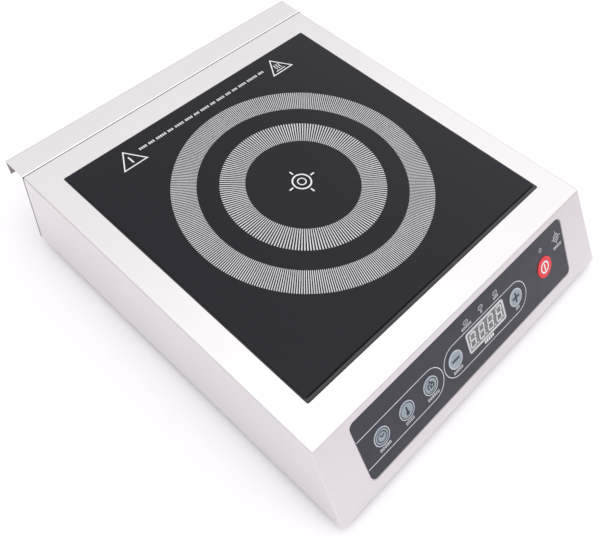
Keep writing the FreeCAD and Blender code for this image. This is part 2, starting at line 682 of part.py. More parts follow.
def make_indicator_leds():
    top = CONTROL_Z + PCB_T
    lamps = [rounded(x, LAMP_Y, top, LAMP_W, LAMP_H, FACE - top, 1.2) for x in LAMP_XS]
    lamps.append(rod(POWER_LAMP[0], POWER_LAMP[1], top, POWER_LAMP_R, FACE - top))
    return [placed(lamp, FRONT_FRAME) for lamp in lamps]


def make_buzzer():
    x = -100.0
    y = -51.0
    can = rod(x, y, CONTROL_Z + PCB_T, 5, 6.5)
    sound_hole = rod(x, y, CONTROL_Z + PCB_T + 5, 1.2, 9)
    return placed(can.cut(sound_hole), FRONT_FRAME)


# ---- Power electronics ---------------------------------------------------------------------------
def board_post_points():
    edge = 7.0
    dx = BOARD_W / 2 - edge
    dy = BOARD_L / 2 - edge
    return [(BOARD_X + sx * dx, BOARD_Y + sy * dy) for sx in (-1, 1) for sy in (-1, 1)]


def make_power_board():
    board = rounded(BOARD_X, BOARD_Y, BOARD_Z, BOARD_W, BOARD_L, PCB_T, 3)
    creepage_slot = rounded(48, 20, 0, 3, 60, SPAN, 1.4)
    return cut(board, [hole(x, y, 1.7) for x, y in board_post_points()] + [creepage_slot])


def make_board_posts():
    posts = []
    for x, y in board_post_points():
        posts.append(rod(x, y, FLOOR, 3.5, BOARD_Z - FLOOR).cut(rod(x, y, FLOOR + 2, THREAD_R, 20)))
    return posts


def make_board_screws():
    screws = []
    for x, y in board_post_points():
        head = rod(x, y, BOARD_FACE, 3.0, 2.0).cut(rod(x, y, BOARD_FACE + 1, 1.2, 3))
        screws.append(fused([head, rod(x, y, BOARD_Z - 6, 1.5, 7.7)]))
    return screws


def make_heatsink():
    """Finned extrusion on four feet, with an upright flange for the power devices."""
    fin_pitch = (SINK_W - FIN_T) / (FIN_COUNT - 1)
    fin_z = SINK_BASE_T - 0.1
    parts = [box(SINK_X, SINK_Y, SINK_Z, SINK_W, SINK_L, SINK_BASE_T)]
    for i in range(FIN_COUNT):
        x = SINK_X - (SINK_W - FIN_T) / 2 + i * fin_pitch
        parts.append(box(x, SINK_Y, SINK_Z + fin_z, FIN_T, SINK_L, SINK_H - fin_z))
    parts.append(box(SINK_X + SINK_W / 2 + 1.4, SINK_Y, SINK_Z, 3.2, SINK_L, SINK_H))
    for sx in (-1, 1):
        for sy in (-1, 1):
            parts.append(box(SINK_X + sx * 30, SINK_Y + sy * 44, FLOOR, 10, 10, SINK_Z - FLOOR))
    return fused(parts)


def power_device(y, width, height):
    """A flat power package standing against the heat sink's flange, with three legs to the board."""
    x = SINK_X + SINK_W / 2 + 3.0
    leg_w = 1.2
    leg_pitch = 5.4
    parts = [Part.makeBox(4.8, width, height, V(x, y - width / 2, BOARD_FACE + 4.4))]
    for i in (-1, 0, 1):
        corner = V(x + 2.0, y - leg_w / 2 + i * leg_pitch, BOARD_FACE - 1.4)
        parts.append(Part.makeBox(0.6, leg_w, 6.0, corner))
    return fused(parts)


def make_igbts():
    return [power_device(SINK_Y + s * 20, 15.6, 17.5) for s in (-1, 1)]


def make_bridge_rectifier():
    return power_device(SINK_Y - 42, 19.0, 16.0)


def film_capacitor(x, y, w, l, h):
    body = box(x, y, BOARD_FACE + 0.2, w, l, h)
    return body.makeFillet(0.8, [e for e in body.Edges if e.BoundBox.ZMin > BOARD_FACE + 0.5])


def make_resonant_capacitor():
    return film_capacitor(52.0, 74.0, 42.0, 26.0, 24.0)


def make_dc_link_capacitor():
    return film_capacitor(8.0, -40.0, 26.0, 32.0, 22.0)


def make_filter_choke():
    """Ring core with its turns of wire; one gap is left between the two ends."""
    x = 90.0
    y = -68.0
    turns = 14
    step = 360.0 / (turns + 0.6)
    parts = [ring(x, y, BOARD_FACE + 1.2, 17, 8.5, 13)]
    for i in range(turns):
        turn = Part.makeBox(11.5, 2.0, 15.4, V(x + 7.2, y - 1.0, BOARD_FACE))
        turn.rotate(V(x, y, 0), AXIS_Z, 20 + i * step)
        parts.append(turn)
    return fused(parts)


def make_fuse():
    x = 108.0
    y = -104.0
    length = 30.0
    clips = [box(x, y + s * 11.5, BOARD_FACE, 7, 5, 7) for s in (-1, 1)]
    body = rod(x, y - length / 2, BOARD_FACE + 4.2, 2.6, length, AXIS_Y)
    return fused([body] + clips)


def make_transformer():
    x = 38.0
    y = -88.0
    core = box(x, y, BOARD_FACE + 0.2, 22, 8, 20)
    bobbin = box(x, y, BOARD_FACE + 2, 14, 20, 15)
    return fused([core, bobbin])


# ---- Fan and duct --------------------------------------------------------------------------------
def fan_screw_points():
    reach = FAN_SIDE / 2 - 5
    return [(FAN_X + sx * reach, FAN_Y + sy * reach) for sx in (-1, 1) for sy in (-1, 1)]


def make_fan_frame():
    strut = 3.0
    strut_z = FLOOR + FAN_H - strut
    frame = rounded(FAN_X, FAN_Y, FLOOR, FAN_SIDE, FAN_SIDE, FAN_H, 4)
    frame = cut(frame, [hole(FAN_X, FAN_Y, FAN_BORE)] + [hole(x, y, 2.0) for x, y in fan_screw_points()])
    hub = rod(FAN_X, FAN_Y, strut_z, FAN_HUB_R - 1, strut)
    struts = []
    for i in range(4):
        arm = Part.makeBox(FAN_BORE - 14, 4, strut, V(FAN_X + 15, FAN_Y - 2, strut_z))
        arm.rotate(V(FAN_X, FAN_Y, 0), AXIS_Z, 45 + 90 * i)
        struts.append(arm)
    bearing = rod(FAN_X, FAN_Y, FLOOR + FAN_H - 14, 3.6, 12)
    body = fused([frame, hub, bearing] + struts)
    return cut(body, [rod(FAN_X, FAN_Y, 0, SHAFT_R + RUNNING_GAP, FLOOR + FAN_H - 1.5)])


def make_fan_rotor():
    low = FLOOR + 2.0
    high = FLOOR + FAN_H - 3.6
    hub = rod(FAN_X, FAN_Y, low, FAN_HUB_R, high - low)
    hub = hub.cut(rod(FAN_X, FAN_Y, low + 1.6, FAN_HUB_R - 1.8, SPAN))
    shaft = rod(FAN_X, FAN_Y, low, SHAFT_R, FAN_H - 5)
    sweep = ring(FAN_X, FAN_Y, low + 0.4, FAN_BORE - 0.9, FAN_HUB_R - 0.6, high - low - 0.8)
    blades = []
    for i in range(FAN_BLADES):
        blade = Part.makeBox(40, 1.6, 34, V(0, -0.8, -17))
        blade.rotate(V(0, 0, 0), AXIS_X, 48)
        blade.translate(V(FAN_X + 10, FAN_Y, (low + high) / 2))
        blade.rotate(V(FAN_X, FAN_Y, 0), AXIS_Z, i * 360.0 / FAN_BLADES)
        blades.append(blade.common(sweep))
    return fused([hub, shaft] + blades)


def make_fan_screws():
    screws = []
    for x, y in fan_screw_points():
        head = rod(x, y, FOOT_HEIGHT - 1.6, 3.4, 1.6)
        screws.append(fused([head, rod(x, y, FOOT_HEIGHT - 0.5, 1.85, FAN_H + SHEET)]))
    return screws


def make_air_duct():
    """Shroud over the fan, open to the rear so that the air runs through the heat sink's fins."""
    wall = 1.5
    low = FLOOR + FAN_H
    high = BRIDGE_Z - 1.5
    outer = box(FAN_X, FAN_Y, low, FAN_SIDE, FAN_SIDE, high - low)
    corner = V(FAN_X - FAN_SIDE / 2 + wall, FAN_Y - FAN_SIDE / 2 + wall, low)
    inner = Part.makeBox(FAN_SIDE - 2 * wall, FAN_SIDE, high - low - wall, corner)
    return cut(outer, [inner] + [rounded(x, y, low, 10, 10, 4, 3) for x, y in fan_screw_points()])


# ---- Mains inlet, wiring and fasteners -----------------------------------------------------------
def hexagon_y(y0, length, across):
    """A hexagon of the given width across its flats, standing on the gland's axis."""
    radius = across / math.sqrt(3)
    turns = [math.radians(a) for a in range(30, 390, 60)]
    corners = [V(GLAND_X + radius * math.cos(a), y0, GLAND_Z + radius * math.sin(a)) for a in turns]
    return Part.Face(Part.makePolygon(corners + [corners[0]])).extrude(V(0, length, 0))


def make_cable_gland():
    outside = WALL_Y + SHEET
    collar_h = 6.0
    collar = hexagon_y(outside, collar_h, GLAND_HEX)
    dome = Part.makeCone(9.4, 8.2, 11, V(GLAND_X, outside + collar_h, GLAND_Z), AXIS_Y)
    thread = rod(GLAND_X, outside - 12, GLAND_Z, GLAND_THREAD, 13, AXIS_Y)
    body = fused([collar, dome, thread])
    return body.cut(rod(GLAND_X, outside - 20, GLAND_Z, GLAND_BORE, 60, AXIS_Y))


def make_gland_nut():
    nut_h = 4.5
    nut = hexagon_y(WALL_Y - nut_h, nut_h, GLAND_HEX)
    return nut.cut(rod(GLAND_X, WALL_Y - 20, GLAND_Z, GLAND_THREAD + 0.05, 60, AXIS_Y))


def make_terminal_block():
    width = 36.0
    depth = 18.0
    body = box(TERMINAL_X, TERMINAL_Y, FLOOR, width, depth, 16)
    tools = []
    for i in (-1, 0, 1):
        x = TERMINAL_X + i * TERMINAL_PITCH
        tools.append(rod(x, TERMINAL_Y - 10, FLOOR + 8, 2.2, 20, AXIS_Y))
        tools.append(rod(x, TERMINAL_Y, FLOOR + 11, 2.0, 9))
    return cut(body, tools)


def make_earth_stud():
    x = 70.0
    y = 140.0
    stud = rod(x, y, FLOOR, 2.5, 14)
    nut = rod(x, y, FLOOR + 2.5, 4.2, 3.5)
    washer = rod(x, y, FLOOR + 0.1, 5.2, 1.2)
    return fused([stud, nut, washer])


def make_mains_wires():
    """Three conductors from the terminal block forward to the power board."""
    wires = []
    for i in (-1, 0, 1):
        x = TERMINAL_X + i * TERMINAL_PITCH
        wires.append(tube([
            (x, TERMINAL_Y - 9, FLOOR + 8), (x, TERMINAL_Y - 20, FLOOR + 9),
            (x - 3, TERMINAL_Y - 36, BOARD_FACE + 6), (x - 5, TERMINAL_Y - 50, BOARD_FACE + 1)], 1.5))
    return wires


def make_coil_leads():
    """Two heavy leads from the winding's edge down through the bridge plate to the power board."""
    leads = []
    for i in (-1, 1):
        start = TOP_FRAME.multVec(V(COIL_OUTER + 0.3, GLASS_CENTRE - 20 + i * 7, CARRIER_TOP + 2.1))
        leads.append(tube([
            (start.x, start.y, start.z), (start.x + 10, start.y, start.z - 1.5),
            (start.x + 20, start.y, BRIDGE_Z + 4), (start.x + 18, start.y, BOARD_FACE + 1)], 1.9))
    return leads


def make_sensor_lead():
    start = TOP_FRAME.multVec(V(0, GLASS_CENTRE, GLASS_UNDER - 3))
    return tube([
        (start.x, start.y, start.z), (start.x + 2, start.y - 2, start.z - 16),
        (start.x + 7, start.y - 9, BRIDGE_Z - 4), (start.x + 10, start.y - 18, BOARD_FACE + 1)], 1.1)


def make_ribbon_cable():
    """Flat cable from the back of the control board to the front edge of the power board."""
    top = FRONT_FRAME.multVec(V(20, -46, CONTROL_Z - 0.2))
    board_front = BOARD_Y - BOARD_L / 2
    path = [(top.y, top.z), (top.y + 8, BOARD_FACE + 1.0), (board_front + 8, BOARD_FACE + 1.0)]
    return folded(path, 0.9, 6, 32, 1.9)


def make_feet():
    feet = []
    for x, y in FEET:
        foot = Part.makeCone(9, 11, FOOT_HEIGHT, V(x, y, 0), AXIS_Z)
        foot = foot.makeFillet(1.0, [e for e in foot.Edges if e.BoundBox.ZMax < 0.01])
        recess = rod(x, y, -1, 4.6, 4.4)
        feet.append(foot.cut(recess).cut(hole(x, y, FOOT_BOLT_R + 0.15)))
    return feet


def make_foot_screws():
    """Screws up through the feet, each with its nut on the base plate."""
    screws = []
    for x, y in FEET:
        head = rod(x, y, 1.4, 4.0, 2.0).cut(rod(x, y, 0, 1.3, 2.4))
        shank = rod(x, y, 3.0, FOOT_BOLT_R, 10.0)
        nut = rod(x, y, BODY_Z, 4.0, 3.2)
        screws.append(fused([head, shank, nut]))
    return screws


def make_base_screws():
    screws = []
    for x, y in base_screw_points():
        head = rod(x, y, FOOT_HEIGHT - SCREW_HEAD_H, SCREW_HEAD_R, SCREW_HEAD_H)
        head = head.cut(rod(x, y, FOOT_HEIGHT - 3, SOCKET_R, 2.2))
        screws.append(fused([head, rod(x, y, FOOT_HEIGHT - 0.3, THREAD_R, 7.0)]))
    return screws


def make_rear_screws():
    screws = []
    outside = WALL_Y + SHEET
    for x, z in rear_screw_points():
        head = rod(x, outside, z, SCREW_HEAD_R, SCREW_HEAD_H, AXIS_Y)
        head = head.cut(rod(x, outside + 0.8, z, SOCKET_R, 3, AXIS_Y))
        screws.append(fused([head, rod(x, outside - 7.0, z, THREAD_R, 7.3, AXIS_Y)]))
    return screws


# ---- Write every node ----------------------------------------------------------------------------
NODES = {
    "top_cover": make_top_cover,
    "rear_panel": make_rear_panel,
    "base_plate": make_base_plate,
    "glass_plate": make_glass_plate,
    "glass_seal": make_glass_seal,
    "glass_support": make_glass_support,
    "mica_sheet": make_mica_sheet,
    "coil_winding": make_coil_winding,
    "coil_carrier": make_coil_carrier,
    "ferrite_bars": make_ferrite_bars,
    "coil_bridge": make_coil_bridge,
    "bridge_posts": make_bridge_posts,
    "coil_pins": make_coil_pins,
    "coil_springs": make_coil_springs,
    "coil_leads": make_coil_leads,
    "thermistor_cap": make_thermistor_cap,
    "thermistor_spring": make_thermistor_spring,
    "sensor_lead": make_sensor_lead,
    "front_overlay": make_front_overlay,
    "display_bezel": make_display_bezel,
    "display_window": make_display_window,
    "display_module": make_display_module,
    "key_guide": make_key_guide,
    "control_board": make_control_board,
    "control_posts": make_control_posts,
    "control_nuts": make_control_nuts,
    "tact_switches": make_tact_switches,
    "indicator_leds": make_indicator_leds,
    "buzzer": make_buzzer,
    "ribbon_cable": make_ribbon_cable,
    "power_board": make_power_board,
    "board_posts": make_board_posts,
    "board_screws": make_board_screws,
    "heatsink": make_heatsink,
    "igbts": make_igbts,
    "bridge_rectifier": make_bridge_rectifier,
    "resonant_capacitor": make_resonant_capacitor,
    "dc_link_capacitor": make_dc_link_capacitor,
    "filter_choke": make_filter_choke,
    "fuse": make_fuse,
    "transformer": make_transformer,
    "fan_frame": make_fan_frame,
    "fan_rotor": make_fan_rotor,
    "fan_screws": make_fan_screws,
    "air_duct": make_air_duct,
    "cable_gland": make_cable_gland,
    "gland_nut": make_gland_nut,
    "terminal_block": make_terminal_block,
    "earth_stud": make_earth_stud,
    "mains_wires": make_mains_wires,
    "feet": make_feet,
    "foot_screws": make_foot_screws,
    "base_screws": make_base_screws,
    "rear_screws": make_rear_screws,
}

os.makedirs("parts", exist_ok=True)
for node_name, make in NODES.items():
    save(node_name, make())
for key_name in KEYS:
    save(key_name, make_key(key_name))
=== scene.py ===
import json
import math
import random

import bpy
from mathutils import Matrix, Quaternion, Vector


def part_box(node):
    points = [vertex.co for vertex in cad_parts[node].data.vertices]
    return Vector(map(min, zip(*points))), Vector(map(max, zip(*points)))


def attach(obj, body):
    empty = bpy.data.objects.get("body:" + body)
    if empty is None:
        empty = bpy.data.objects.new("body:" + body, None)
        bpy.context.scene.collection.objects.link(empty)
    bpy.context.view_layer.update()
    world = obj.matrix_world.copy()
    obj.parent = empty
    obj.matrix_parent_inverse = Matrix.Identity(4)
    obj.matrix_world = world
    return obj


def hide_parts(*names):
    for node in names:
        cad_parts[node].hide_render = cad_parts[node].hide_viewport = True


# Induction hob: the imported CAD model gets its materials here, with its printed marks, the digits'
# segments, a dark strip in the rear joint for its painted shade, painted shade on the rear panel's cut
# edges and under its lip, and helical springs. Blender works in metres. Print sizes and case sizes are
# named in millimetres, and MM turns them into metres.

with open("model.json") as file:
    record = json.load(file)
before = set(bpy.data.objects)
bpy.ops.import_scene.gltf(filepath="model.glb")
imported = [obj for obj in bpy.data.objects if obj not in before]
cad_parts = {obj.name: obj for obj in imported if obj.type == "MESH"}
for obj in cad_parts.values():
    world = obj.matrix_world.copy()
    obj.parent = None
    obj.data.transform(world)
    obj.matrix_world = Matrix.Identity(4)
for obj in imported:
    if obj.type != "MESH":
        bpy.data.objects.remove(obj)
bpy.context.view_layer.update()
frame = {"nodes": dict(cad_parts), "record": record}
MM = 0.001
random.seed(7)

# ---- Working frames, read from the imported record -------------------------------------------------
MOUNTS = {mount["name"]: mount for mount in frame["record"]["mounts"]}
JOINTS = {joint["name"]: joint for joint in frame["record"]["behaviour"]["joints"]}
RIGHT = Vector((1, 0, 0))


def face_frame(origin, normal):
    """A matrix whose z is the face's normal, x the object's right and y up the face."""
    z = Vector(normal).normalized()
    y = z.cross(RIGHT).normalized()
    basis = Matrix((RIGHT, y, z)).transposed().to_4x4()
    return Matrix.Translation(Vector(origin)) @ basis


def centre(node):
    low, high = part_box(node)
    return (Vector(low) + Vector(high)) / 2


GLASS = face_frame(MOUNTS["cooking_surface"]["pos_m"], MOUNTS["cooking_surface"]["axis"])
FRONT_NORMAL = -Vector(JOINTS["key_timer_press"]["axis"])
OVERLAY_THICK = 0.5
OVERLAY = face_frame(centre("front_overlay") + FRONT_NORMAL * OVERLAY_THICK / 2 * MM, FRONT_NORMAL)


def on_overlay(node):
    """A node's centre in the overlay's frame, in millimetres."""
    return OVERLAY.inverted() @ centre(node) / MM


def frame_top(node):
    """How far a flat node's outer face stands above the overlay's face, in millimetres."""
    inverse = OVERLAY.inverted()
    return max((inverse @ vertex.co).z for vertex in frame["nodes"][node].data.vertices) / MM


# ---- Case sizes ----------------------------------------------------------------------------------
TOP_HALF = 163.5           # half the width of the top face
CREASE_RUN = 38.7          # how far the sloped front leans back
APERTURE_FRONT = 25.4      # front edge of the glass opening, up the top face from its front fold
SEAM_HALF = 0.4            # half the joint between the cover and the rear wall
SHEET = 1.0
COVER_LOW, COVER_HIGH = (Vector(corner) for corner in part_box("top_cover"))    # metres, like all points


# ---- Node helpers --------------------------------------------------------------------------------
def color_ramp(tree, factor, stops):
    """A ramp through (place, colour) stops; a colour may pass 1."""
    node = tree.nodes.new("ShaderNodeValToRGB")
    elements = node.color_ramp.elements
    while len(elements) < len(stops):
        elements.new(0.5)
    for element, (place, color) in zip(elements, stops):
        element.position = place
        element.color = (*color, 1)
    tree.links.new(factor, node.inputs["Fac"])
    return node.outputs["Color"]


class Graph:
    """A new material with a Principled shader, and short calls to add nodes to it."""

    def __init__(self, name, color, rough, metal=0.0):
        self.material = bpy.data.materials.new(name)
        self.material.use_nodes = True
        self.material.diffuse_color = (*color, 1)
        self.tree = self.material.node_tree
        self.shader = self.tree.nodes["Principled BSDF"]
        self.put("Base Color", (*color, 1))
        self.put("Roughness", rough)
        self.put("Metallic", metal)
        source = self.tree.nodes.new("ShaderNodeTexCoord")
        self.coords = source.outputs["Object"]
        self.facing = source.outputs["Normal"]

    def put(self, socket, value):
        self.shader.inputs[socket].default_value = value

    def link(self, source, target):
        self.tree.links.new(source, target)

    def scaled(self, scale):
        node = self.tree.nodes.new("ShaderNodeMapping")
        node.inputs["Scale"].default_value = scale
        self.link(self.coords, node.inputs["Vector"])
        return node.outputs["Vector"]

    def noise(self, scale, detail=3.0, vector=None, rough=0.55):
        node = self.tree.nodes.new("ShaderNodeTexNoise")
        node.inputs["Scale"].default_value = scale
        node.inputs["Detail"].default_value = detail
        node.inputs["Roughness"].default_value = rough
        self.link(vector or self.coords, node.inputs["Vector"])
        return node.outputs["Fac"]

    def ramp(self, factor, stops):
        return color_ramp(self.tree, factor, stops)

    def spread(self, factor, low, high, start=0.3, end=0.7):
        node = self.tree.nodes.new("ShaderNodeMapRange")
        node.inputs["From Min"].default_value = start
        node.inputs["From Max"].default_value = end
        node.inputs["To Min"].default_value = low
        node.inputs["To Max"].default_value = high
        self.link(factor, node.inputs["Value"])
        return node.outputs["Result"]

    def split(self, vector):
        node = self.tree.nodes.new("ShaderNodeSeparateXYZ")
        self.link(vector, node.inputs["Vector"])
        return node.outputs

    def math(self, operation, *terms):
        node = self.tree.nodes.new("ShaderNodeMath")
        node.operation = operation
        for socket, term in zip(node.inputs, terms):
            if isinstance(term, float):
                socket.default_value = term
            else:
                self.link(term, socket)
        return node.outputs["Value"]

    def bump(self, factor, strength, distance):
        node = self.tree.nodes.new("ShaderNodeBump")
        node.inputs["Strength"].default_value = strength
        node.inputs["Distance"].default_value = distance
        self.link(factor, node.inputs["Height"])
        self.link(node.outputs["Normal"], self.shader.inputs["Normal"])

    def paint(self, color):
        self.link(color, self.shader.inputs["Base Color"])

    def drift(self, factor, color, amount, start=0.3, end=0.7):
        """A colour that goes a little lighter and darker."""
        dark = [c * (1 - amount) for c in color]
        light = [min(1.0, c * (1 + amount)) for c in color]
        return self.ramp(factor, [(start, dark), (end, light)])

    def vary(self, factor, color, amount, start=0.3, end=0.7):
        self.paint(self.drift(factor, color, amount, start, end))

    def rough(self, factor, low, high):
        self.link(self.spread(factor, low, high), self.shader.inputs["Roughness"])


# ---- Materials -----------------------------------------------------------------------------------
STEEL = (0.75, 0.72, 0.73)
STEEL_DRIFT = 0.035
CUT_EDGE_PAINTED_SHADE = -0.72      # painted shade in the joint: how much darker the rear wall's cut edges are made
LIP_PAINTED_SHADE = -0.42         # painted shade under the hood: how much darker the inner face of the hood's lip is made
EDGE_SOFT = 0.2
SEAL_DARK = (0.006, 0.006, 0.007)
# Painted highlight: the front bead's crown is painted paler, as if it caught the front light.
BEAD_HIGHLIGHT_GREY = (0.032, 0.032, 0.037)
BEAD_START = 1.3           # start of the painted highlight on the crown of the front bead, from the front of the glass opening
BEAD_END = 3.1
BEAD_SOFT = 0.25
ZINC = (0.60, 0.61, 0.62)


def satin_steel(name):
    """A stainless shader and its grain: fine along X, with faint cloudy handling marks."""
    g = Graph(name, STEEL, 0.36, 1.0)
    grain = g.noise(1.0, 4.0, g.scaled((30, 2600, 2600)), 0.7)
    g.rough(g.noise(9.0, 3.0), 0.32, 0.42)
    g.bump(grain, 0.05, 0.0002)
    return g, grain


def stainless_material():
    g, grain = satin_steel("stainless")
    g.vary(grain, STEEL, STEEL_DRIFT)
    return g.material


def rear_stainless_painted_shade_material():
    """The same satin steel, with painted shade on the wall's cut edges in the joint and on the inner face
    of the hood's lip.
    """
    g, grain = satin_steel("stainless_rear_painted_shade")
    place = g.split(g.coords)
    facing = g.split(g.facing)
    wall_back = COVER_HIGH.y + (2 * SEAM_HALF + SHEET) * MM
    start, end = wall_back + EDGE_SOFT * MM, wall_back + 2 * EDGE_SOFT * MM
    # Masks for the painted shade: on_wall picks the wall's cut edges, behind_wall the hood's lip.
    behind_wall = g.spread(place["Y"], 0.0, 1.0, start, end)
    on_wall = g.spread(place["Y"], 1.0, 0.0, start, end)
    # Painted shade on the wall's sideways-facing cut edges, where the joint lies in shade.
    cut_edge_shade = g.spread(g.math("ABSOLUTE", facing["X"]), 0.0, CUT_EDGE_PAINTED_SHADE, 0.85, 0.95)
    # Painted shade on the lip's forward-facing inner face, which lies in the hood's shade.
    lip_shade = g.spread(facing["Y"], LIP_PAINTED_SHADE, 0.0, -0.8, -0.6)
    edge = g.math("MULTIPLY", cut_edge_shade, on_wall)
    inner = g.math("MULTIPLY", lip_shade, behind_wall)
    # The steel colour is scaled down by these painted shades.
    tone = g.math("ADD", g.math("ADD", edge, inner), 1.0)
    shade = g.tree.nodes.new("ShaderNodeVectorMath")
    shade.operation = "SCALE"
    g.link(g.drift(grain, STEEL, STEEL_DRIFT), shade.inputs[0])
    g.link(tone, shade.inputs["Scale"])
    g.paint(shade.outputs["Vector"])
    return g.material


def zinc_sheet_material():
    """Galvanised sheet with its spangle."""
    g = Graph("galvanised", ZINC, 0.42, 1.0)
    spangle = g.tree.nodes.new("ShaderNodeTexVoronoi")
    spangle.inputs["Scale"].default_value = 160.0
    g.link(g.coords, spangle.inputs["Vector"])
    tint = g.spread(spangle.outputs["Distance"], 0.0, 1.0, 0.0, 0.6)
    g.vary(tint, ZINC, 0.12, 0.1, 0.9)
    g.rough(g.noise(60.0), 0.34, 0.52)
    return g.material


def black_glass_material():
    color = (0.0066, 0.0054, 0.0105)
    g = Graph("black_glass", color, 0.07)
    g.put("Specular IOR Level", 0.22)
    g.rough(g.noise(14.0, 4.0), 0.05, 0.10)
    g.vary(g.noise(900.0, 2.0), color, 0.25)
    return g.material


def seal_material():
    """Black silicone, with a painted highlight along the crown of the wide front bead."""
    g = Graph("silicone", SEAL_DARK, 0.5)
    place = g.split(g.coords)
    opening = COVER_LOW.y + (CREASE_RUN + APERTURE_FRONT) * MM
    start, end = opening + BEAD_START * MM, opening + BEAD_END * MM
    soft = BEAD_SOFT * MM
    # Painted highlight: a band along the front bead's crown, paler than the black silicone.
    rise = g.spread(place["Y"], 0.0, 1.0, start - soft, start + soft)
    fall = g.spread(place["Y"], 1.0, 0.0, end - soft, end + soft)
    g.paint(g.ramp(g.math("MULTIPLY", rise, fall), [(0.0, SEAL_DARK), (1.0, BEAD_HIGHLIGHT_GREY)]))
    g.rough(g.noise(70.0, 4.0), 0.45, 0.62)
    g.bump(g.noise(1400.0, 2.0), 0.15, 0.0002)
    return g.material


def plain_plastic(name, color, low, high, pebble=0.0, pebble_scale=1400.0):
    """Moulded plastic or rubber: fine pebble in the bump, roughness that drifts."""
    g = Graph(name, color, (low + high) / 2)
    g.vary(g.noise(45.0), color, 0.06)
    g.rough(g.noise(70.0, 4.0), low, high)
    if pebble:
        g.bump(g.noise(pebble_scale, 2.0), pebble, 0.0002)
    return g.material


def metal(name, color, low, high, scale=(60, 60, 900)):
    """Bare or plated metal with grain stretched by `scale`."""
    g = Graph(name, color, (low + high) / 2, 1.0)
    grain = g.noise(1.0, 3.0, g.scaled(scale))
    g.vary(grain, color, 0.06)
    g.rough(g.noise(120.0, 3.0), low, high)
    g.bump(grain, 0.06, 0.0002)
    return g.material


def overlay_material():
    """Printed polyester film: even satin face with a fine fleck."""
    color = (0.0175, 0.0178, 0.030)
    g = Graph("overlay_film", color, 0.38)
    fleck = g.noise(2600.0, 2.0)
    g.vary(fleck, color, 0.10)
    g.rough(g.noise(120.0), 0.34, 0.44)
    g.bump(fleck, 0.06, 0.0001)
    return g.material


def window_material():
    color = (0.30, 0.30, 0.32)
    g = Graph("smoked_window", color, 0.12)
    g.put("Alpha", 0.45)
    g.rough(g.noise(50.0), 0.08, 0.16)
    g.vary(g.noise(300.0), color, 0.05)
    return g.material


def board_material():
    """Green solder mask with faint tracks."""
    g = Graph("circuit_board", (0.05, 0.22, 0.10), 0.35)
    tracks = g.tree.nodes.new("ShaderNodeTexBrick")
    tracks.inputs["Scale"].default_value = 90.0
    tracks.inputs["Color1"].default_value = (0.045, 0.21, 0.09, 1)
    tracks.inputs["Color2"].default_value = (0.06, 0.25, 0.11, 1)
    tracks.inputs["Mortar"].default_value = (0.10, 0.34, 0.16, 1)
    tracks.inputs["Mortar Size"].default_value = 0.03
    g.link(g.coords, tracks.inputs["Vector"])
    g.paint(tracks.outputs["Color"])
    g.rough(g.noise(80.0), 0.28, 0.42)
    return g.material


def litz_material():
    """Twisted enamelled strands: fine wavy rings over copper."""
    color = (0.52, 0.22, 0.09)
    g = Graph("copper_litz", color, 0.4, 0.8)
    wave = g.tree.nodes.new("ShaderNodeTexWave")
    wave.wave_type = "RINGS"
    wave.inputs["Scale"].default_value = 900.0
    wave.inputs["Distortion"].default_value = 3.0
    g.link(g.coords, wave.inputs["Vector"])
    g.vary(wave.outputs["Fac"], color, 0.25, 0.1, 0.9)
    g.bump(wave.outputs["Fac"], 0.3, 0.0002)
    g.rough(g.noise(200.0), 0.3, 0.5)
    return g.material


